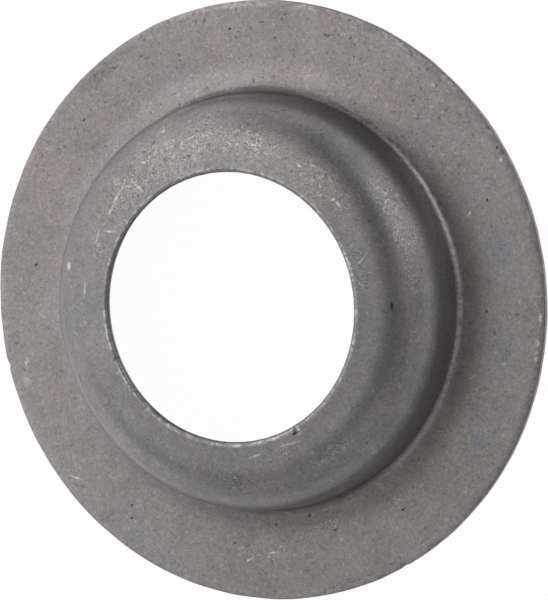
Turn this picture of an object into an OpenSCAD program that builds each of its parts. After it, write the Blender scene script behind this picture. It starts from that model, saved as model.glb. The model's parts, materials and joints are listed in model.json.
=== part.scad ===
// Valve spring seat: one pressing of steel sheet. A flat flange carries the end of the
// spring, a round boss drawn up from it centres the spring, and a hole pierced in the top
// of the boss clears the valve guide.
// The axis is Z. The flange rests on the plane Z = 0 and the boss points up.

/* [Sheet] */
// Thickness of the steel sheet
sheet_t = 0.9; // [0.75:0.05:1.4]

/* [Flange] */
// Outside diameter of the flange
flange_d = 40; // [34:0.5:60]

/* [Boss] */
// Diameter of the boss wall that centres the spring
pilot_d = 27.6; // [26:0.1:34]
// Height of the boss above the face that the spring sits on
boss_h = 6.4; // [5.4:0.1:12]
// Radius of the shoulder between the boss wall and the top, on the outside
shoulder_r = 3.4; // [1.6:0.1:4.2]
// Radius of the corner between the flange and the boss wall, on the spring's side
corner_r = 1.6; // [0.3:0.05:2.4]

/* [Bore] */
// Diameter of the hole in the top of the boss
bore_d = 17.9; // [10:0.1:19.5]

/* [Sheared edges] */
// Rounding of the rim and the bore on the spring's side
front_edge_r = 0.25; // [0.05:0.05:0.4]
// Rounding of the rim and the bore on the cylinder head's side
back_edge_r = 0.4; // [0.05:0.05:0.6]

/* [Hidden] */
$fn = 128;
rim_r = flange_d / 2;
pilot_r = pilot_d / 2;
bore_r = bore_d / 2;
// The face that the spring sits on, and the two faces of the boss top
seat_z = sheet_t;
top_z = seat_z + boss_h;
top_under_z = top_z - sheet_t;
// Centres of the two bends of the section, in radius and height
corner_centre = [pilot_r + corner_r, seat_z + corner_r];
shoulder_centre = [pilot_r - shoulder_r, top_z - shoulder_r];
// How far a cutting shape reaches past the metal
past = 1;
steel = [0.51, 0.50, 0.49];

// Square that fills one quarter of the plane out to a distance: quarter is a pair of signs
module quarter_square(quarter, reach)
    translate([min(quarter.x, 0), min(quarter.y, 0)] * reach)
        square(reach);

// Sheet bent through a quarter turn about a centre, with inner_r on the inside of the bend
module quarter_bend(centre, inner_r, quarter) {
    outer_r = inner_r + sheet_t;
    translate(centre)
        intersection() {
            difference() {
                circle(r = outer_r);
                circle(r = inner_r);
            }
            quarter_square(quarter, outer_r + past);
        }
}

// Flat sheet between two radii, with its underside at a height
module flat_sheet(from_r, to_r, under_z)
    translate([from_r, under_z])
        square([to_r - from_r, sheet_t]);

// Straight wall of sheet with its outside at the pilot radius
module upright_sheet(from_z, to_z)
    translate([pilot_r - sheet_t, from_z])
        square([sheet_t, to_z - from_z]);

// Metal to take off a sharp corner of the sheet to round it: quarter points out of the metal
module edge_waste(corner, quarter, edge_r)
    translate(corner - quarter * edge_r)
        difference() {
            quarter_square(quarter, edge_r + past);
            circle(r = edge_r);
        }

// Half section of the pressing, in radius and height
module half_section()
    difference() {
        union() {
            flat_sheet(corner_centre.x, rim_r, 0);
            quarter_bend(corner_centre, corner_r, [-1, -1]);
            upright_sheet(corner_centre.y, shoulder_centre.y);
            quarter_bend(shoulder_centre, shoulder_r - sheet_t, [1, 1]);
            flat_sheet(bore_r, shoulder_centre.x, top_under_z);
        }
        edge_waste([rim_r, seat_z], [1, 1], front_edge_r);
        edge_waste([rim_r, 0], [1, -1], back_edge_r);
        edge_waste([bore_r, top_z], [-1, 1], front_edge_r);
        edge_waste([bore_r, top_under_z], [-1, -1], back_edge_r);
    }

module spring_seat()
    color(steel)
        rotate_extrude()
            half_section();

spring_seat();
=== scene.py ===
"""Valve spring seat: one pressing of steel sheet, with its finish and a plain studio stage."""
import json
import math

import bpy
from mathutils import Matrix, Vector


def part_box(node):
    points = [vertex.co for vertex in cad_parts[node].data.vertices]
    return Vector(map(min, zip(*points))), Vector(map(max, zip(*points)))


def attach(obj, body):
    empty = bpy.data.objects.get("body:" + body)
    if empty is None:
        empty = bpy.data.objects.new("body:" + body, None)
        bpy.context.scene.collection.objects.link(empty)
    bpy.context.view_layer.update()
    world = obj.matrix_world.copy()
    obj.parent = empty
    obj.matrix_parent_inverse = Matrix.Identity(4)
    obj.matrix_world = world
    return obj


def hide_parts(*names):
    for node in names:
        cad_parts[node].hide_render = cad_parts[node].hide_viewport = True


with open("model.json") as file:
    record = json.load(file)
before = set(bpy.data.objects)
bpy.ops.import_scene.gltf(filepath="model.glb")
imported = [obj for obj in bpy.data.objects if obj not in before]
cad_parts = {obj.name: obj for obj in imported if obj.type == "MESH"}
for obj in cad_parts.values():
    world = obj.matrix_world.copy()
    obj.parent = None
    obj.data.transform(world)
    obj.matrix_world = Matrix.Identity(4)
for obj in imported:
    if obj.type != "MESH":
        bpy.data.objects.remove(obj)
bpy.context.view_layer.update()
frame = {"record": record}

bl_info = {
    "name": "Valve Spring Seat",
    "version": (1, 0, 0),
    "blender": (4, 5, 0),
    "location": "View3D > Sidebar > Spring Seat",
    "description": "Models a pressed steel valve spring seat and a studio stage for it",
    "category": "Object",
}

MM = 0.001
M_TO_MM = 1000.0
QUARTER = math.radians(90)
FULL_TURN = math.radians(360)
# Points of a mesh that are closer than this are one
WELD = MM / 1000

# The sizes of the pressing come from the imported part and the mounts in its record
NODE = "spring_seat"
BODY = "root"
LOW_CORNER, HIGH_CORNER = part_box(NODE)
MOUNTS = {mount["name"]: mount for mount in frame["record"]["mounts"]}


def mount_height(name):
    """Height of a mount's middle above the flange's underside."""
    return MOUNTS[name]["pos_m"][2]


def mount_size(name, size):
    """One of a mount's measures, in metres."""
    return MOUNTS[name]["dims"][size] * MM


RIM_RADIUS = HIGH_CORNER.x
BOSS_TOP = HIGH_CORNER.z
SHEET = mount_height("spring_face")
BORE_RADIUS = mount_size("guide_bore", "r_mm")
PILOT_RADIUS = mount_size("spring_pilot", "r_mm")
# The straight wall of the boss ends where the shoulder begins
HALF_WALL = mount_size("spring_pilot", "length_mm") / 2
SHOULDER_RADIUS = BOSS_TOP - mount_height("spring_pilot") - HALF_WALL
# The straight land of the bore ends where the roundings of its two edges begin
HALF_LAND = mount_size("guide_bore", "length_mm") / 2
FRONT_EDGE_RADIUS = BOSS_TOP - mount_height("guide_bore") - HALF_LAND
BACK_EDGE_RADIUS = mount_height("guide_bore") - HALF_LAND - (BOSS_TOP - SHEET)

# The photograph's frame, and where the middle of the flange's face is in it
PHOTO_WIDTH = 548
PHOTO_HEIGHT = 600
FLANGE_CENTRE_PX = (270.1, 300.05)
RIM_LONG_RADIUS_PX = 300.5


def linear(hex_colour):
    """Linear colour of an sRGB hex value such as #8C8887."""
    channels = [int(hex_colour[i:i + 2], 16) / 255 for i in (1, 3, 5)]
    return [c / 12.92 if c <= 0.04045 else ((c + 0.055) / 1.055) ** 2.4 for c in channels]


class SeatSizes(bpy.types.PropertyGroup):
    """Sizes of the pressing."""
    rim_radius: bpy.props.FloatProperty(
        name="Rim radius", description="Outside radius of the flange",
        default=RIM_RADIUS, unit="LENGTH", precision=5)
    bore_radius: bpy.props.FloatProperty(
        name="Bore radius", description="Radius of the hole in the top of the boss",
        default=BORE_RADIUS, unit="LENGTH", precision=5)
    pilot_radius: bpy.props.FloatProperty(
        name="Pilot radius", description="Radius of the boss wall that centres the spring",
        default=PILOT_RADIUS, unit="LENGTH", precision=5)
    boss_top: bpy.props.FloatProperty(
        name="Boss top", description="Height of the boss top above the flange's underside",
        default=BOSS_TOP, unit="LENGTH", precision=5)
    sheet: bpy.props.FloatProperty(
        name="Sheet", description="Thickness of the steel sheet",
        default=SHEET, unit="LENGTH", precision=5)
    shoulder_radius: bpy.props.FloatProperty(
        name="Shoulder radius", description="Outside radius of the bend at the boss top",
        default=SHOULDER_RADIUS, unit="LENGTH", precision=5)
    crown_angle: bpy.props.FloatProperty(
        name="Crown angle", description="Fall of the boss top from the bore to the shoulder",
        default=math.radians(6), subtype="ANGLE")
    wall_draft: bpy.props.FloatProperty(
        name="Wall draft", description="Lean of the boss wall that lets it leave the die",
        default=math.radians(2.5), subtype="ANGLE")
    corner_radius: bpy.props.FloatProperty(
        name="Corner radius", description="Inside radius of the bend at the foot of the wall",
        default=0.6 * MM, unit="LENGTH", precision=5)
    runout_radius: bpy.props.FloatProperty(
        name="Run-out radius", description="Larger radius on which the corner runs into the flange",
        default=5 * MM, unit="LENGTH", precision=5)
    runout_angle: bpy.props.FloatProperty(
        name="Run-out angle", description="Slope at which the corner turns into its run-out",
        default=math.radians(22), subtype="ANGLE")
    bore_flare: bpy.props.FloatProperty(
        name="Bore flare", description="How much wider the bore breaks out on the head's side",
        default=0.1 * MM, unit="LENGTH", precision=5)
    front_edge_radius: bpy.props.FloatProperty(
        name="Front edge radius", description="Rounding of the bore on the spring's side",
        default=FRONT_EDGE_RADIUS, unit="LENGTH", precision=5)
    back_edge_radius: bpy.props.FloatProperty(
        name="Back edge radius", description="Rounding of the bore on the head's side",
        default=BACK_EDGE_RADIUS, unit="LENGTH", precision=5)
    rim_front_radius: bpy.props.FloatProperty(
        name="Rim front radius", description="Rounding of the sheared rim on the spring's side",
        default=0.08 * MM, unit="LENGTH", precision=5)
    rim_back_radius: bpy.props.FloatProperty(
        name="Rim back radius", description="Roll of the sheared rim on the head's side",
        default=0.7 * MM, unit="LENGTH", precision=5)
    steps_round: bpy.props.IntProperty(
        name="Steps round", description="Faces in one turn round the axis",
        default=880, min=64, max=890)


class SteelLook(bpy.types.PropertyGroup):
    """Colours and gloss of the steel."""
    flange: bpy.props.FloatVectorProperty(
        name="Flange grey", description="Tumbled and dulled steel of the flat flange",
        default=linear("#878382"), subtype="COLOR", min=0, max=1)
    boss: bpy.props.FloatVectorProperty(
        name="Boss grey", description="Dulled steel of the drawn boss, a little cooler",
        default=linear("#848282"), subtype="COLOR", min=0, max=1)
    warm: bpy.props.FloatVectorProperty(
        name="Warm stain", description="Thin brown oxide and dried oil",
        default=linear("#8A8481"), subtype="COLOR", min=0, max=1)
    cool: bpy.props.FloatVectorProperty(
        name="Cool stain", description="Thin blue-grey oxide",
        default=linear("#808185"), subtype="COLOR", min=0, max=1)
    # Also the colour of the painted highlights
    rubbed: bpy.props.FloatVectorProperty(
        name="Rubbed steel", description="Steel rubbed bright at edges, scuffs and scratches",
        default=linear("#C4C1C0"), subtype="COLOR", min=0, max=1)
    # Also the colour of the painted shade
    pit: bpy.props.FloatVectorProperty(
        name="Pit", description="Dirt and oxide at the bottom of a pit",
        default=linear("#433F3C"), subtype="COLOR", min=0, max=1)
    roughness: bpy.props.FloatProperty(
        name="Roughness", description="Roughness of the tumbled surface",
        default=0.45, subtype="FACTOR", min=0, max=1)


class StageLook(bpy.types.PropertyGroup):
    """Floor, light tent, lamps and camera."""
    floor_size: bpy.props.FloatProperty(
        name="Floor size", description="Side of the square floor",
        default=20.0, unit="LENGTH")
    floor_colour: bpy.props.FloatVectorProperty(
        name="Floor", description="White table that the part lies on",
        default=linear("#F4F4F4"), subtype="COLOR", min=0, max=1)
    floor_glow: bpy.props.FloatProperty(
        name="Floor glow", description="Share of the floor that stays white in the shadow",
        default=0.97, subtype="FACTOR", min=0, max=1)
    camera_tilt: bpy.props.FloatProperty(
        name="Camera tilt", description="Angle between the camera's view and the part's axis",
        default=math.radians(25.2), subtype="ANGLE")
    camera_roll: bpy.props.FloatProperty(
        name="Camera roll", description="Turn of the camera about its view",
        default=math.radians(10.32), subtype="ANGLE")
    camera_distance: bpy.props.FloatProperty(
        name="Camera distance", description="From the camera to the part",
        default=0.9, unit="LENGTH")


def start_chain(place):
    """Starts the outline of a section as a single point in edit mode."""
    bpy.ops.object.select_all(action="DESELECT")
    bpy.ops.mesh.primitive_plane_add(size=MM, location=(0, 0, 0))
    bpy.ops.object.mode_set(mode="EDIT")
    bpy.ops.mesh.select_all(action="SELECT")
    bpy.ops.mesh.merge(type="CENTER")
    bpy.ops.transform.translate(value=(place[0], 0, place[1]))
    return Vector((place[0], 0, place[1]))


def run(start, end, rows):
    """Draws a straight stretch of the section in equal rows, and returns its end."""
    end = Vector((end[0], 0, end[1]))
    step = (end - start) / rows
    for _ in range(rows):
        bpy.ops.mesh.extrude_region_move(TRANSFORM_OT_translate={"value": step})
    return end


def turn(start, centre, angle, rows):
    """Draws a bend of the section round a centre, and returns its end."""
    centre = Vector((centre[0], 0, centre[1]))
    bpy.ops.mesh.spin(steps=rows, angle=-angle, center=centre, axis=(0, 1, 0))
    return centre + Matrix.Rotation(angle, 3, "Y") @ (start - centre)


# Rows of faces along each stretch of the section, more where the steel bends and shows
ROWS = {
    "bore_front": 5, "boss_top": 8, "shoulder": 26, "wall": 6, "corner": 7, "runout": 7,
    "flange": 12, "rim_front": 4, "rim": 1, "rim_back": 6, "underside": 4, "under_runout": 3,
    "under_corner": 5, "inner_wall": 2, "inner_shoulder": 8, "inner_top": 2, "bore_back": 5,
    "bore": 2,
}


def trace_section(sizes):
    """Traces the whole outline of the half section, from the bore round to the bore."""
    bore = sizes.bore_radius
    rim = sizes.rim_radius
    front = sizes.front_edge_radius
    back = sizes.back_edge_radius
    rim_front = sizes.rim_front_radius
    rim_back = sizes.rim_back_radius
    sheet = sizes.sheet
    top = sizes.boss_top
    # The top falls from the bore on a line that touches the bore's edge and the shoulder
    crown = sizes.crown_angle
    up = Vector((math.sin(crown), math.cos(crown)))
    bore_edge = Vector((bore + front, top - front))
    top_line = bore_edge.dot(up) + front
    shoulder_x = sizes.pilot_radius - sizes.shoulder_radius
    shoulder = Vector((shoulder_x, (top_line - sizes.shoulder_radius - shoulder_x * up.x) / up.y))
    under_x = bore + sizes.bore_flare + back
    under_edge = Vector((under_x, (top_line - sheet + back - under_x * up.x) / up.y))
    # The wall leans out by its draft. The corner at its foot is tight, and runs out into the
    # flange on a larger radius, within 0.2 mm of the one radius of the CAD part.
    draft = sizes.wall_draft
    slope = sizes.runout_angle
    bend = QUARTER - draft - slope
    tight = sizes.corner_radius
    wider = sizes.runout_radius - tight
    lean = Vector((math.cos(draft), math.sin(draft)))
    wall_top = shoulder + lean * sizes.shoulder_radius
    inner_top = shoulder + lean * (sizes.shoulder_radius - sheet)
    corner_z = sheet + sizes.runout_radius - wider * math.cos(slope)
    foot_z = corner_z - tight * lean.y
    foot = (wall_top.x + (wall_top.y - foot_z) * math.tan(draft), foot_z)
    corner = (foot[0] + tight * lean.x, corner_z)
    runout = (corner[0] + wider * math.sin(slope), sheet + sizes.runout_radius)
    first = start_chain((bore, top - front))
    # Spring's side, outwards
    at = turn(first, bore_edge, QUARTER + crown, ROWS["bore_front"])
    at = run(at, shoulder + up * sizes.shoulder_radius, ROWS["boss_top"])
    at = turn(at, shoulder, QUARTER - draft - crown, ROWS["shoulder"])
    at = run(at, foot, ROWS["wall"])
    at = turn(at, corner, -bend, ROWS["corner"])
    at = turn(at, runout, -slope, ROWS["runout"])
    at = run(at, (rim - rim_front, sheet), ROWS["flange"])
    # Rim, sharper on the spring's side than the CAD part and rounder on the head's side
    at = turn(at, (rim - rim_front, sheet - rim_front), QUARTER, ROWS["rim_front"])
    at = run(at, (rim, rim_back), ROWS["rim"])
    at = turn(at, (rim - rim_back, rim_back), QUARTER, ROWS["rim_back"])
    # Head's side, inwards
    at = run(at, (runout[0], 0), ROWS["underside"])
    at = turn(at, runout, slope, ROWS["under_runout"])
    at = turn(at, corner, bend, ROWS["under_corner"])
    at = run(at, inner_top, ROWS["inner_wall"])
    at = turn(at, shoulder, draft + crown - QUARTER, ROWS["inner_shoulder"])
    at = run(at, under_edge - up * back, ROWS["inner_top"])
    # Bore
    at = turn(at, under_edge, QUARTER - crown, ROWS["bore_back"])
    run(at, (bore, top - front), ROWS["bore"])
    bpy.ops.object.mode_set(mode="OBJECT")


def close_mesh(piece):
    """Merges the doubles of a spun mesh and turns its faces outwards."""
    bpy.ops.object.select_all(action="DESELECT")
    piece.select_set(True)
    bpy.context.view_layer.objects.active = piece
    bpy.ops.object.mode_set(mode="EDIT")
    bpy.ops.mesh.select_all(action="SELECT")
    bpy.ops.mesh.remove_doubles(threshold=WELD)
    bpy.ops.mesh.normals_make_consistent(inside=False)
    bpy.ops.object.mode_set(mode="OBJECT")
    bpy.ops.object.shade_smooth()


def roughen(piece, group, size, depth):
    """Moves the faces of a vertex group in and out by a cloudy pattern of one size."""
    texture = bpy.data.textures.new(group, "CLOUDS")
    texture.noise_scale = size
    texture.noise_depth = 2
    modifier = piece.modifiers.new(group, "DISPLACE")
    modifier.texture = texture
    modifier.texture_coords = "LOCAL"
    modifier.vertex_group = group
    modifier.strength = depth
    modifier.mid_level = 0.5
    bpy.ops.object.modifier_apply(modifier=modifier.name)


# Unevenness of the sheared edges: how far it reaches, the size of its pattern and its depth, in mm
EDGES = {"bore_edge": (0.6, 0.5, 0.03), "rim_edge": (0.7, 2.2, 0.08)}


def edge_group(piece, group, edge_radius, reach):
    """Adds a vertex group that is full at an edge and fades out at a distance from it."""
    weights = piece.vertex_groups.new(name=group)
    for vertex in piece.data.vertices:
        gap = abs(math.hypot(vertex.co.x, vertex.co.y) - edge_radius)
        if gap < reach:
            weights.add([vertex.index], 1 - gap / reach, "REPLACE")


# Nicks in the edges from handling: the point that moves most, its move, and how far round it the
# steel gives way, in mm
DENTS = (
    ((3.2, -8.62, 7.25), (0.08, -0.22, -0.16), 0.4),
    ((-8.85, -2.05, 7.25), (-0.1, -0.03, -0.08), 0.25),
    ((-7.95, -4.18, 7.25), (-0.1, -0.05, -0.08), 0.3),
    ((-7.2, -5.5, 7.25), (-0.07, -0.06, -0.06), 0.25),
    ((-19.95, -1.12, 0.75), (0.14, 0.0, -0.06), 0.4),
    ((18.05, 8.62, 0.75), (-0.1, -0.05, -0.08), 0.45),
    ((18.75, 6.83, 0.75), (-0.1, -0.04, -0.06), 0.4),
    ((6.1, -19.0, 0.75), (-0.04, 0.12, -0.06), 0.4),
)


def dent(piece, place, move, reach):
    """Pushes the point of a mesh nearest to a place, and the steel round it, a short way."""
    bpy.ops.object.mode_set(mode="EDIT")
    bpy.ops.mesh.select_all(action="DESELECT")
    bpy.ops.object.mode_set(mode="OBJECT")
    target = Vector(place) * MM
    nearest = min(piece.data.vertices, key=lambda vertex: (vertex.co - target).length_squared)
    nearest.select = True
    bpy.ops.object.mode_set(mode="EDIT")
    bpy.ops.transform.translate(value=Vector(move) * MM, use_proportional_edit=True,
                                proportional_edit_falloff="SMOOTH", proportional_size=reach * MM)
    bpy.ops.object.mode_set(mode="OBJECT")


def add(tree, kind, inputs, out=0, **settings):
    """Adds a node with its settings, its values and its links, and returns one of its outputs."""
    node = tree.nodes.new("ShaderNode" + kind)
    for name, value in settings.items():
        setattr(node, name, value)
    for name, value in inputs.items():
        if isinstance(value, bpy.types.NodeSocket):
            tree.links.new(value, node.inputs[name])
        else:
            node.inputs[name].default_value = value
    return node.outputs[out] if node.outputs else None


# Marks of wear, stains, and arcs of painted shade and painted light on the spring's side: x, y,
# half length and half width in mm, and turn in degrees
SCUFFS = (
    (0.4, 12.5, 2.0, 0.9, 4),
    (-1.0, 11.2, 4.4, 2.0, 4),
    (-5.4, 9.0, 3.0, 1.6, 32),
    (-8.8, 5.6, 1.4, 0.7, 58),
    (3.4, 10.4, 3.8, 2.0, -20),
    (7.6, 7.2, 3.4, 1.5, -46),
    (11.9, 5.4, 2.2, 0.9, -62),
    (12.7, 2.6, 2.6, 0.8, -78),
    (13.0, -0.4, 2.0, 0.6, -90),
    (9.9, 1.0, 2.6, 0.8, -84),
    (1.6, -9.9, 2.6, 0.6, 8),
    (-2.2, -11.3, 3.4, 0.8, -10),
    (5.2, -10.6, 2.6, 0.8, 28),
    (-3.4, -16.7, 1.7, 0.7, 5),
    (1.6, -15.4, 2.4, 0.5, 4),
)
SCRATCHES = (
    (-7.0, 8.24, 1.95, 0.12, 50),
    (-5.17, 9.05, 0.9, 0.11, -50),
    (-7.74, 6.4, 0.73, 0.1, -12),
    (6.75, 8.37, 0.25, 0.12, -40),
    (9.06, 5.39, 0.35, 0.14, -60),
    (8.8, 5.75, 0.3, 0.12, 20),
    (-2.96, 12.27, 0.25, 0.14, 10),
    (-8.7, 6.17, 0.6, 0.1, 62),
    (-10.3, 3.0, 0.9, 0.075, 78),
    (9.95, 1.47, 0.9, 0.083, 39),
    (-0.2, -10.0, 0.75, 0.105, 12),
    (2.4, -9.6, 1.3, 0.09, 3),
    (-16.5, -9.4, 0.65, 0.09, -25),
    (-4.9, -16.8, 0.5, 0.09, 20),
    (-3.1, -16.6, 0.6, 0.09, -5),
    (15.5, 3.3, 0.3, 0.105, 60),
    (14.52, 12.02, 0.22, 0.12, -30),
    (18.4, 6.44, 0.28, 0.14, 75),
)
SMEARS = (
    (-18.6, -1.2, 0.55, 0.26, 84),
    (-18.8, -2.3, 0.75, 0.26, 80),
    (19.15, -4.4, 0.6, 0.2, 76),
    (18.65, -5.95, 0.4, 0.26, 70),
    (18.35, -6.8, 0.6, 0.22, 70),
)
NICKS = (
    (-11.45, 4.64, 0.34, 0.2, 75),
    (3.3, -8.75, 0.2, 0.08, 20),
)
PITS = (
    (3.0, -8.97, 0.24, 0.12, 15),
    (0.67, 18.22, 0.16, 0.11, 0),
    (-11.15, 14.08, 0.18, 0.09, 30),
    (-16.61, 5.13, 0.22, 0.09, 30),
    (11.48, -1.81, 0.45, 0.13, 85),
    (15.43, -3.34, 0.16, 0.09, 70),
    (16.88, 3.93, 0.16, 0.1, 80),
    (-12.95, -12.7, 0.13, 0.1, 0),
    (-12.77, -11.84, 0.13, 0.1, 40),
    (-5.76, -15.53, 0.13, 0.1, 0),
    (-2.44, -14.8, 0.16, 0.11, 10),
    (0.1, -14.6, 0.3, 0.1, 40),
    (1.67, -15.82, 0.22, 0.08, 5),
    (6.83, -15.28, 0.16, 0.1, 20),
    (14.75, 11.95, 0.15, 0.1, 0),
    (18.3, 7.2, 0.2, 0.13, 60),
)
# Arcs of painted shade round the shoulder and near the rim
SHADE_ARCS = (
    (-7.92, -9.78, 4.6, 1.0, 141),
    (-9.1, 17.1, 3.2, 0.9, 28),
)
# Arcs of painted light round the flange and the shoulder
LIGHT_ARCS = (
    (-4.04, 15.07, 3.0, 1.0, 15),
    (-16.44, 2.31, 3.6, 1.4, 82),
    (9.14, 9.14, 2.0, 0.7, -45),
    (-4.33, -10.72, 2.8, 0.5, 158),
)
WARM_STAINS = (
    (10.6, 11.9, 1.8, 1.1, -40),
    (5.1, 14.3, 2.6, 0.9, -15),
    (-15.1, 5.3, 1.6, 0.9, 75),
)
COOL_STAINS = (
    (-12.65, -14.2, 1.8, 1.0, -40),
    (13.3, -11.6, 1.8, 1.0, 45),
    (17.2, 0.5, 2.4, 1.4, 85),
    (16.0, -6.2, 2.2, 1.2, 68),
)

# The same marks by name: the coordinates that they follow, and how soft their outlines are
MARKS = {
    "scuffs": (SCUFFS, "uneven", 0.8),
    "scratches": (SCRATCHES, "ragged", 0.8),
    "smears": (SMEARS, "ragged", 1.0),
    "nicks": (NICKS, "ragged", 0.4),
    "pits": (PITS, "ragged", 0.7),
    # Arcs of painted shade, then arcs of painted light
    "dulled": (SHADE_ARCS, "place", 1.0),
    "pale": (LIGHT_ARCS, "place", 1.0),
    "warm_stains": (WARM_STAINS, "uneven", 0.9),
    "cool_stains": (COOL_STAINS, "uneven", 0.9),
}
# How far the outlines of marks and stains waver along each axis, and the size of the waves, in mm
WAVERS = {"uneven": (2.0, 2.0, 0.0), "ragged": (0.2, 0.2, 0.2)}
WAVE_SIZE = 0.8

# Noises in the steel: size in mm, detail and the coordinates that they follow. Tumbling leaves a
# grain of about 0.03 mm. It is drawn at 0.12 mm, and the small specks at 0.25 mm, as fine as the
# render shows.
NOISES = {
    "grain": (0.12, 1, "place"),
    "fine": (0.3, 1, "place"),
    "mottle": (1.0, 1, "place"),
    "patches": (3.0, 1, "place"),
    "sweeps": (9.0, 1, "place"),
    "clouds": (3.5, 4, "place"),
    "breaks": (0.8, 4, "place"),
    "gaps": (0.45, 1, "place"),
    "specks": (0.25, 2, "ragged"),
    "curls": (0.5, 1, "ragged"),
}
NOISE_MIDDLE = 0.5
# Unevenness of the tone from the tumbling and the sheet: depth of each noise
TONES = {"grain": 0.6, "fine": 0.35, "mottle": 0.25, "patches": 0.25, "sweeps": 0.15}
# Lines that the die leaves: their pitch in mm, and how often they change round the part
LINE_PITCH = 0.16
LINE_CHANGES = 4.0
BUMP_HEIGHT = 0.02 * MM
# Scattered larger pits: side of the cell that holds one, share of cells that have one, largest
# radius in mm, depth, how much longer than wide one is and which way it points in degrees
LARGE_PITS = (1.4, 0.26, 0.14, 0.6, 1.5, 110)

# Masks cut from a noise or a measure: values at which one starts and is full, and its share
CUTS = {
    "front": ("facing", 0.0, 0.2, 1.0),
    "on_boss": ("wall", 1.0, 0.0, 1.0),
    "drawn": ("depth", 0.1, 0.9, 1.0),
    # Painted shade in the bore
    "in_bore": ("bore", 0.07, 0.03, 0.5),
    "rim_land": ("rim", -0.06, -0.02, 1.0),
    "warm_clouds": ("clouds", 0.5, 0.75, 0.35),
    "cool_clouds": ("clouds", 0.5, 0.25, 0.35),
    "worn_patches": ("patches", 0.35, 0.6, 1.0),
    "wide_breaks": ("breaks", 0.4, 0.6, 1.0),
    "fine_breaks": ("fine", 0.35, 0.55, 1.0),
    # Patches of painted shade in the corner
    "dull_breaks": ("fine", 0.5, 0.36, 1.0),
    "harsh_grain": ("grain", 0.42, 0.58, 1.0),
    "few_strokes": ("gaps", 0.58, 0.7, 0.32),
    "many_strokes": ("gaps", 0.42, 0.58, 1.0),
    "salt": ("specks", 0.64, 0.74, 0.28),
    "pepper": ("specks", 0.37, 0.27, 0.55),
    "rubbed_pepper": ("specks", 0.46, 0.32, 0.3),
}
# Bands of a noise or a measure: middle, and distances from it at which one starts to fade and ends
BANDS = {
    "strokes": ("curls", 0.5, 0.0, 0.05),
    # Painted shade on the lower shoulder
    "film": ("height", 5.2, 0.35, 0.8),
    # Painted light on the boss wall
    "ironed": ("height", 3.0, 1.1, 1.8),
    "score": ("slant", 4.3, 0.25, 0.5),
    "top_wear": ("axis", 10.8, 0.9, 1.8),
    "burr": ("bore", 0.23, 0.04, 0.17),
    # Painted highlights on the shoulder and in the corner
    "shoulder_rub": ("wall", -0.85, 0.1, 0.35),
    "corner_rub": ("wall", 0.25, 0.1, 0.3),
    # Painted shade in the corner at the foot of the wall
    "corner_breaks": ("wall", 0.3, 0.1, 0.3),
    "corner_dirt": ("wall", 0.36, 0.1, 0.25),
    # A rubbed rim, with a painted highlight on one side
    "rim_rub": ("rim", -0.25, 0.05, 0.3),
    # Painted shade along the rim
    "rim_dirt": ("rim", -0.2, 0.06, 0.45),
}
# Sides of the part: bearing, and angles from it at which one starts to fade and ends, in degrees
SIDES = {
    # Sides of painted shade on the lower shoulder and on the flange
    "film_side": (308, 22, 45),
    "dull_side": (290, 25, 62),
    "score_side": (80, 16, 30),
    "top_side": (82, 40, 66),
    "speckled_side": (85, 30, 75),
    # Sides of the painted highlights on the shoulder and in the corner
    "shoulder_side": (198, 25, 45),
    "corner_side": (5, 40, 65),
    # Sides of the painted shade in the corner
    "broken_side": (15, 35, 60),
    "upper_dirt": (95, 12, 32),
    "lower_dirt": (266, 16, 36),
    # Side of the painted highlight on the rim
    "rim_rub_side": (62, 20, 48),
    # Side of the painted shade along the rim
    "rim_dirt_side": (8, 55, 75),
}
# How much the score on the wall rises across the part
SCORE_SLANT = 0.35
# Sockets of a colour's Mix node
MIX_SHARE, MIX_UNDER, MIX_OVER, MIX_RESULT = 0, 6, 7, 2


def direction(tilt, bearing):
    """Unit vector at a tilt from the part's axis and a bearing round it, in degrees."""
    tilt = math.radians(tilt)
    bearing = math.radians(bearing)
    return Vector((math.sin(tilt) * math.cos(bearing), math.sin(tilt) * math.sin(bearing),
                   math.cos(tilt)))


def marks(tree, place, places, soft):
    """Adds a mask of oval marks: 1 inside each, fading to 0 at its outline."""
    total = 0.0
    for x, y, half_length, half_width, degrees in places:
        local = add(tree, "Mapping", {
            "Vector": place, "Location": (x, y, 0), "Rotation": (0, 0, math.radians(degrees)),
            "Scale": (half_length, half_width, M_TO_MM)}, vector_type="TEXTURE")
        reach = add(tree, "VectorMath", {0: local}, out="Value", operation="LENGTH")
        mask = add(tree, "MapRange", {"Value": reach, "From Min": 1, "From Max": 1 - soft},
                   interpolation_type="SMOOTHSTEP")
        total = add(tree, "Math", {0: mask, 1: total}, operation="MAXIMUM")
    return total


def specks(tree, place, cell, share, radius, depth, stretch, degrees):
    """Adds a mask of small oval specks, scattered one to a cell in some of the cells."""
    local = add(tree, "Mapping", {
        "Vector": place, "Rotation": (0, 0, math.radians(degrees)),
        "Scale": (stretch, 1, 1)}, vector_type="TEXTURE")
    gap = add(tree, "TexVoronoi", {"Vector": local, "Scale": 1 / cell}, out="Distance")
    chance = add(tree, "SeparateXYZ", {0: gap.node.outputs["Color"]}, out="X")
    reach = add(tree, "MapRange", {"Value": chance, "From Min": 1 - share, "From Max": 1.0,
                                   "To Min": 0.0, "To Max": radius / cell})
    inside = add(tree, "Math", {0: reach, 1: gap}, operation="SUBTRACT")
    return add(tree, "MapRange", {"Value": inside, "From Min": 0.0,
                                  "From Max": 0.6 * radius / cell, "To Max": depth})


def band(tree, value, middle, full, end):
    """Adds a mask that is 1 near a middle value and fades to 0 at a distance from it."""
    off = add(tree, "Math", {0: value, 1: middle}, operation="SUBTRACT")
    gap = add(tree, "Math", {0: off}, operation="ABSOLUTE")
    return add(tree, "MapRange", {"Value": gap, "From Min": end, "From Max": full})


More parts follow.
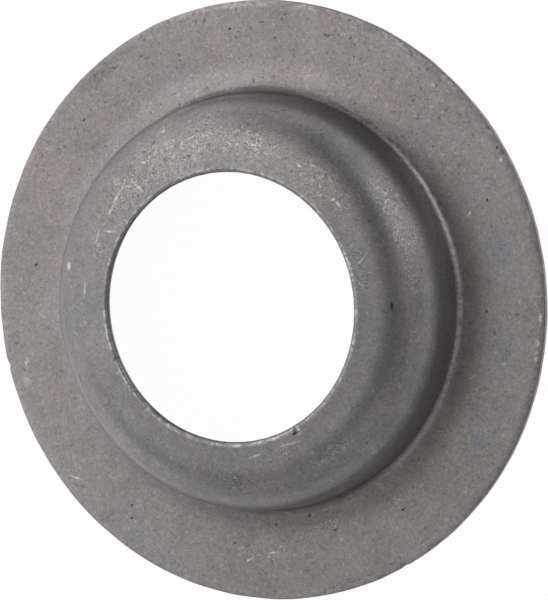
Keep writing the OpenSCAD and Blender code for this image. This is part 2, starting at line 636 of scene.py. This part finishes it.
def lobe(tree, view, towards, full, end, fade="LINEAR"):
    """Adds a mask of the directions round one: 1 near it, and fading to 0 at an angle from it."""
    along = add(tree, "VectorMath", {0: view, 1: towards}, out="Value", operation="DOT_PRODUCT")
    return add(tree, "MapRange", {"Value": along, "From Min": math.cos(math.radians(end)),
                                  "From Max": math.cos(math.radians(full))},
               interpolation_type=fade)


def overlap(tree, *masks):
    """Adds the product of several masks, or of masks and a share."""
    total = masks[0]
    for mask in masks[1:]:
        total = add(tree, "Math", {0: total, 1: mask}, operation="MULTIPLY")
    return total


def either(tree, *masks):
    """Adds the largest of several masks."""
    total = masks[0]
    for mask in masks[1:]:
        total = add(tree, "Math", {0: total, 1: mask}, operation="MAXIMUM")
    return total


def summed(tree, total, terms):
    """Adds up a value and several masks, each times its own amount."""
    for mask, amount in terms:
        total = add(tree, "Math", {0: mask, 1: amount, 2: total}, operation="MULTIPLY_ADD")
    return total


def tinted(tree, colour, layers):
    """Lays tints over a colour, each where its mask is."""
    for mask, tint in layers:
        colour = add(tree, "Mix", {MIX_SHARE: mask, MIX_UNDER: colour, MIX_OVER: (*tint, 1)},
                     out=MIX_RESULT, data_type="RGBA")
    return colour


def lay_out(tree, sizes):
    """Adds the coordinates and measures of the finish, in mm, and returns them by name."""
    metres = add(tree, "TexCoord", {}, out="Object")
    place = add(tree, "VectorMath", {0: metres, "Scale": M_TO_MM}, operation="SCALE")
    x, y, z = add(tree, "SeparateXYZ", {0: place}).node.outputs
    flat = add(tree, "CombineXYZ", {"X": x, "Y": y})
    normal = add(tree, "NewGeometry", {}, out="Normal")
    top = sizes.boss_top * M_TO_MM
    at = {
        "place": place,
        "height": z,
        "depth": add(tree, "Math", {0: top, 1: z}, operation="SUBTRACT"),
        "slant": add(tree, "Math", {0: x, 1: SCORE_SLANT, 2: z}, operation="MULTIPLY_ADD"),
        "axis": add(tree, "VectorMath", {0: flat}, out="Value", operation="LENGTH"),
        "bearing": add(tree, "VectorMath", {0: flat}, operation="NORMALIZE"),
        "facing": add(tree, "SeparateXYZ", {0: normal}, out="Z"),
    }
    edges = {"bore": sizes.bore_radius, "wall": sizes.pilot_radius, "rim": sizes.rim_radius}
    for name, radius in edges.items():
        at[name] = add(tree, "Math", {0: at["axis"], 1: radius * M_TO_MM}, operation="SUBTRACT")
    waves = add(tree, "TexNoise", {"Vector": place, "Scale": 1 / WAVE_SIZE, "Detail": 3},
                out="Color")
    swing = add(tree, "VectorMath", {0: waves, 1: (NOISE_MIDDLE,) * 3}, operation="SUBTRACT")
    for name, reach in WAVERS.items():
        at[name] = add(tree, "VectorMath", {0: swing, 1: reach, 2: place},
                       operation="MULTIPLY_ADD")
    return at


class Finish(dict):
    """Measures, noises and masks of the finish by name, each added where it is first used.

    A render can hold only so many values at once, so masks aren't all added at the start.
    """

    def __init__(self, tree, sizes):
        super().__init__(lay_out(tree, sizes))
        self.tree = tree

    def __missing__(self, name):
        tree = self.tree
        if name in NOISES:
            size, detail, follows = NOISES[name]
            made = add(tree, "TexNoise", {"Vector": self[follows], "Scale": 1 / size,
                                          "Detail": detail})
        elif name in CUTS:
            source, first, full, share = CUTS[name]
            made = add(tree, "MapRange", {"Value": self[source], "From Min": first,
                                          "From Max": full, "To Max": share})
        elif name in BANDS:
            source, middle, full, end = BANDS[name]
            made = band(tree, self[source], middle, full, end)
        elif name in SIDES:
            bearing, full, end = SIDES[name]
            made = lobe(tree, self["bearing"], direction(90, bearing), full, end)
        else:
            places, follows, soft = MARKS[name]
            made = marks(tree, self[follows], places, soft)
        self[name] = made
        return made


def die_lines(tree, finish):
    """Adds the faint lines that drawing over the die leaves round the shoulder and the wall."""
    along = add(tree, "Math", {0: finish["axis"], 1: finish["height"]}, operation="SUBTRACT")
    across = add(tree, "Math", {0: along, 1: 1 / LINE_PITCH}, operation="MULTIPLY")
    slow = add(tree, "VectorMath", {0: finish["bearing"], "Scale": LINE_CHANGES}, operation="SCALE")
    lines = add(tree, "TexNoise", {"Vector": slow, "W": across, "Scale": 1, "Detail": 2},
                noise_dimensions="4D")
    swing = add(tree, "Math", {0: lines, 1: NOISE_MIDDLE}, operation="SUBTRACT")
    return overlap(tree, swing, finish["drawn"], finish["on_boss"])


def bare_steel_and_highlights(tree, finish):
    """Adds the mask of steel that is rubbed, scratched or sheared bright, and of painted highlights
    on the corner, the shoulder and the rim.
    """
    broken = finish["broken"]
    fine_breaks = finish["fine_breaks"]
    # Flecks and thin curling strokes: a few all over, and many where the part was rubbed
    flecks = either(
        tree, overlap(tree, finish["salt"], finish["speckled"]),
        overlap(tree, finish["strokes"], finish["few_strokes"]),
        overlap(tree, finish["strokes"], finish["harsh_grain"], finish["many_strokes"],
                finish["rubbed"], 0.9),
        overlap(tree, finish["rubbed"], 0.02))
    scratches = overlap(tree, finish["scratches"],
                        either(tree, overlap(tree, fine_breaks, 0.85), 0.35))
    smears = overlap(tree, finish["smears"], fine_breaks, 0.7)
    # Rubbed edges of the bore and the rim, with a painted highlight on the rim on one side, and
    # painted highlights on the corner and the shoulder on one side each
    burr = overlap(tree, finish["burr"], either(tree, overlap(tree, broken, 0.8), 0.1))
    # The rim is rubbed all round, and a painted highlight makes it brighter on one side
    rim_share = summed(tree, 0.12, [(finish["rim_rub_side"], 0.2)])
    rim_rub = overlap(tree, finish["rim_rub"], broken, rim_share)
    corner_rub = overlap(tree, finish["corner_rub"], finish["corner_side"], 0.15)
    shoulder_rub = overlap(tree, finish["shoulder_rub"], finish["shoulder_side"], 0.15)
    on_front = either(tree, flecks, scratches, smears, finish["nicks"], burr, rim_rub, corner_rub,
                      shoulder_rub)
    # The sheared land of the rim is light, and a score slants down the wall
    rim_land = overlap(tree, finish["rim_land"], either(tree, overlap(tree, broken, 0.35), 0.15))
    score = overlap(tree, finish["score"], finish["score_side"], finish["on_boss"], broken, 0.6)
    return either(tree, overlap(tree, on_front, finish["front"]), rim_land, score)


def pitted_steel(tree, finish):
    """Adds the mask of small pits, which are dark and rough."""
    return either(
        tree, overlap(tree, finish["pepper"], finish["speckled"]),
        overlap(tree, finish["rubbed_pepper"], finish["rubbed"]),
        specks(tree, finish["ragged"], *LARGE_PITS),
        overlap(tree, finish["pits"], finish["front"]))


def painted_shade(tree, finish):
    """Adds the mask of painted shade in the bore, in the corner at the flange and along the rim."""
    corner_sides = either(tree, overlap(tree, finish["upper_dirt"], 0.55),
                          overlap(tree, finish["lower_dirt"], 0.4))
    return either(
        tree, finish["in_bore"], overlap(tree, finish["corner_dirt"], corner_sides),
        overlap(tree, finish["corner_breaks"], finish["broken_side"], finish["dull_breaks"], 0.55),
        overlap(tree, finish["rim_dirt"], finish["rim_dirt_side"], 0.36))


def pressed_steel(look, sizes):
    """Cold-rolled low-carbon steel sheet, drawn in a press, then tumbled and left to dull.

    Tumbling rounds the edges and gives a soft, even gloss. Storage adds thin stains, and handling
    adds small pits, light scuffs and scratches, which catch the light. Painted shade and painted
    highlights in the colour stand in for some light and shade on the boss, the flange, the bore and
    the rim.
    """
    material = bpy.data.materials.new("tumbled_pressed_steel")
    material.use_nodes = True
    tree = material.node_tree
    tree.nodes.clear()
    finish = Finish(tree, sizes)
    # The part was rubbed at its scuffs, and in patches along the top of the boss
    finish["worn_top"] = overlap(tree, finish["top_wear"], finish["top_side"])
    worn_top = overlap(tree, finish["worn_top"], finish["worn_patches"])
    worn = either(tree, finish["scuffs"], worn_top)
    finish["rubbed"] = overlap(tree, worn, finish["front"])
    # Most specks are on one side of the flange
    finish["speckled"] = summed(tree, 0.65, [(finish["speckled_side"], 0.4)])
    finish["broken"] = overlap(tree, finish["wide_breaks"], finish["fine_breaks"])
    bright = bare_steel_and_highlights(tree, finish)
    pits = pitted_steel(tree, finish)
    # Pits, and painted shade in the bore, the corner and along the rim
    dark = either(tree, pits, painted_shade(tree, finish))

    # Grain, mottle and cloudy patches of lighter and darker steel
    darkest = 1 - NOISE_MIDDLE * sum(TONES.values())
    grain = summed(tree, darkest, [(finish[name], depth) for name, depth in TONES.items()])
    # Drawing leaves lines, painted light brightens the wall, painted shade darkens the shoulder and
    # the flange on one side, arcs of painted shade and painted light lie round the boss and the
    # flange, and rubbing makes the grain harsher. Each mask has its change of the tone.
    sparkle = add(tree, "Math", {0: finish["grain"], 1: NOISE_MIDDLE}, operation="SUBTRACT")
    flange = add(tree, "Math", {0: 1.0, 1: finish["on_boss"]}, operation="SUBTRACT")
    tone = summed(tree, grain, (
        (die_lines(tree, finish), 0.35),
        # Painted light on the boss wall
        (overlap(tree, finish["ironed"], finish["on_boss"]), 0.22),
        (overlap(tree, finish["film"], finish["film_side"]), -0.2),
        (overlap(tree, flange, finish["dull_side"]), -0.06),
        # Arcs of painted shade, then arcs of painted light
        (overlap(tree, finish["dulled"], finish["front"]), -0.22),
        (overlap(tree, finish["pale"], finish["front"]), 0.15),
        (overlap(tree, sparkle, finish["rubbed"]), 0.7),
    ))

    # The flange is a little warmer than the drawn boss, and both have thin stains
    warm = either(tree, finish["warm_clouds"], finish["warm_stains"],
                  overlap(tree, finish["worn_top"], 0.5))
    cool = either(tree, finish["cool_clouds"], finish["cool_stains"])
    stained = tinted(tree, (*look.flange, 1), (
        (finish["on_boss"], look.boss), (warm, look.warm), (cool, look.cool)))
    toned = add(tree, "VectorMath", {0: stained, "Scale": tone}, operation="SCALE")
    # The pit colour also paints the shade, and the rubbed colour the highlights
    colour = tinted(tree, toned, ((dark, look.pit), (bright, look.rubbed)))
    rough = summed(tree, look.roughness, ((bright, -0.06), (pits, 0.2)))
    bump = add(tree, "Bump", {"Height": grain, "Strength": 0.4, "Distance": BUMP_HEIGHT})
    shader = add(tree, "BsdfPrincipled", {"Base Color": colour, "Metallic": 1.0,
                                          "Roughness": rough, "Normal": bump})
    add(tree, "OutputMaterial", {"Surface": shader})
    return material


class SPRINGSEAT_OT_press_seat(bpy.types.Operator):
    """Draws the section of the pressing, spins it about the axis and gives it its steel"""
    bl_idname = "springseat.press_seat"
    bl_label = "Press Spring Seat"

    def execute(self, context):
        sizes = context.scene.seat_sizes
        trace_section(sizes)
        seat = context.active_object
        seat.name = "pressed_seat"
        screw = seat.modifiers.new("spin", "SCREW")
        screw.axis = "Z"
        screw.angle = FULL_TURN
        screw.steps = sizes.steps_round
        screw.render_steps = sizes.steps_round
        screw.use_merge_vertices = True
        screw.merge_threshold = WELD
        bpy.ops.object.modifier_apply(modifier=screw.name)
        close_mesh(seat)
        for name, radius in (("bore_edge", sizes.bore_radius), ("rim_edge", sizes.rim_radius)):
            reach, size, depth = EDGES[name]
            edge_group(seat, name, radius, reach * MM)
            roughen(seat, name, size * MM, depth * MM)
        for place, move, reach in DENTS:
            dent(seat, place, move, reach)
        seat.data.materials.clear()
        seat.data.materials.append(pressed_steel(context.scene.steel_look, sizes))
        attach(seat, BODY)
        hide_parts(NODE)
        return {"FINISHED"}


# Lit patches of the tent's cloth: direction from the part's axis and round it in degrees, angles at
# which a patch starts to fade and ends, and brightness
TENT_PATCHES = (
    (8, 0, 4, 22, 0.4),
    (30, 154, 4, 24, 1.4),
    (30, 206, 4, 24, 0.96),
    (52, 0, 4, 24, 0.85),
    (52, 144, 4, 24, 1.18),
    (52, 252, 4, 24, 0.7),
    (52, 288, 4, 24, 0.88),
    (74, 30, 4, 24, 2.6),
    (74, 90, 4, 24, 0.83),
    (74, 240, 4, 24, 0.66),
    (82, 288, 4, 24, 0.5),
    (74, 330, 4, 24, 0.74),
)
# Softboxes beside the part: the same direction, distance and side in metres, and brightness
SOFTBOXES = (
    ("upper_softbox", 35, 100, 0.08, 0.05, 1.17),
    ("left_softbox", 55, 180, 0.07, 0.05, 0.41),
    ("low_left_softbox", 72, 180, 0.09, 0.05, 1.0),
    ("low_upper_softbox", 72, 120, 0.09, 0.05, 1.45),
    ("upper_table_softbox", 78, 150, 0.09, 0.04, 1.09),
    ("lower_table_softbox", 78, 210, 0.09, 0.04, 1.52),
)


def light_tent():
    """Dark tent with lit patches of white cloth, and a gap that the camera looks in through."""
    world = bpy.data.worlds.new("light_tent")
    world.use_nodes = True
    tree = world.node_tree
    tree.nodes.clear()
    view = add(tree, "TexCoord", {}, out="Generated")
    patches = []
    for tilt, bearing, full, end, level in TENT_PATCHES:
        patch = lobe(tree, view, direction(tilt, bearing), full, end, "SMOOTHSTEP")
        patches.append((patch, level))
    light = summed(tree, 0.0, patches)
    cloth = add(tree, "Background", {"Color": (1, 1, 1, 1), "Strength": light})
    add(tree, "OutputWorld", {"Surface": cloth})
    return world


def white_table(look):
    """Matt white board. It shows white to the camera and in the metal, and keeps the shadow."""
    material = bpy.data.materials.new("white_table")
    material.use_nodes = True
    tree = material.node_tree
    tree.nodes.clear()
    rays = add(tree, "LightPath", {}).node.outputs
    seen = either(tree, rays["Is Camera Ray"], rays["Is Glossy Ray"], rays["Is Transmission Ray"])
    share = overlap(tree, seen, look.floor_glow)
    board = add(tree, "BsdfDiffuse", {"Color": (*look.floor_colour, 1)})
    glow = add(tree, "Emission", {"Strength": 1.0})
    surface = add(tree, "MixShader", {0: share, 1: board, 2: glow})
    add(tree, "OutputMaterial", {"Surface": surface})
    return material


class SPRINGSEAT_OT_set_stage(bpy.types.Operator):
    """Sets the white table, the light tent, the softboxes and the camera"""
    bl_idname = "springseat.set_stage"
    bl_label = "Set Stage"

    def execute(self, context):
        scene = context.scene
        look = scene.stage_look
        scene.view_settings.view_transform = "Standard"
        scene.world = light_tent()
        bpy.ops.object.select_all(action="DESELECT")
        bpy.ops.mesh.primitive_plane_add(size=look.floor_size, location=(0, 0, 0))
        floor = context.active_object
        floor.name = "table"
        floor.data.materials.append(white_table(look))
        for name, tilt, bearing, distance, side, level in SOFTBOXES:
            towards = direction(tilt, bearing)
            bpy.ops.object.light_add(type="AREA", location=towards * distance,
                                     rotation=towards.to_track_quat("Z", "Y").to_euler())
            lamp = context.active_object
            lamp.name = name
            lamp.data.shape = "SQUARE"
            lamp.data.size = side
            lamp.data.energy = level * math.pi * side ** 2
            lamp.visible_camera = False
        self.place_camera(context, look)
        return {"FINISHED"}

    def place_camera(self, context, look):
        """Looks at the part from the photograph's side, with the flange in the same place."""
        tilt = Matrix.Rotation(look.camera_tilt, 3, "Y")
        roll = Matrix.Rotation(-look.camera_roll, 3, "Z")
        turned = tilt @ roll
        right = turned.col[0]
        up = turned.col[1]
        back = turned.col[2]
        px_per_m = RIM_LONG_RADIUS_PX / RIM_RADIUS
        aim = Vector((0, 0, SHEET))
        aim += right * (PHOTO_WIDTH / 2 - FLANGE_CENTRE_PX[0]) / px_per_m
        aim -= up * (PHOTO_HEIGHT / 2 - FLANGE_CENTRE_PX[1]) / px_per_m
        bpy.ops.object.camera_add(location=aim + back * look.camera_distance,
                                  rotation=turned.to_euler())
        camera = context.active_object
        camera.name = "camera"
        camera.data.sensor_width = 36.0
        camera.data.lens = camera.data.sensor_width * px_per_m * look.camera_distance / PHOTO_HEIGHT
        camera.data.clip_start = 0.01
        camera.data.clip_end = 2 * look.floor_size
        context.scene.camera = camera


class SPRINGSEAT_PT_panel(bpy.types.Panel):
    """Lists the steps that make the part and its stage"""
    bl_idname = "SPRINGSEAT_PT_panel"
    bl_label = "Spring Seat"
    bl_space_type = "VIEW_3D"
    bl_region_type = "UI"
    bl_category = "Spring Seat"

    def draw(self, context):
        layout = self.layout
        for group in (context.scene.seat_sizes, context.scene.steel_look, context.scene.stage_look):
            box = layout.box()
            for name in group.bl_rna.properties.keys():
                if name not in ("rna_type", "name"):
                    box.prop(group, name)
        for operator in OPERATORS:
            layout.operator(operator.bl_idname)


OPERATORS = (SPRINGSEAT_OT_press_seat, SPRINGSEAT_OT_set_stage)
GROUPS = {"seat_sizes": SeatSizes, "steel_look": SteelLook, "stage_look": StageLook}


def register():
    for name, group in GROUPS.items():
        bpy.utils.register_class(group)
        setattr(bpy.types.Scene, name, bpy.props.PointerProperty(type=group))
    for operator in OPERATORS:
        bpy.utils.register_class(operator)
    bpy.utils.register_class(SPRINGSEAT_PT_panel)


def unregister():
    bpy.utils.unregister_class(SPRINGSEAT_PT_panel)
    for operator in reversed(OPERATORS):
        bpy.utils.unregister_class(operator)
    for name, group in reversed(list(GROUPS.items())):
        delattr(bpy.types.Scene, name)
        bpy.utils.unregister_class(group)


def main():
    register()
    bpy.ops.springseat.press_seat()
    bpy.ops.springseat.set_stage()


if __name__ == "__main__":
    main()
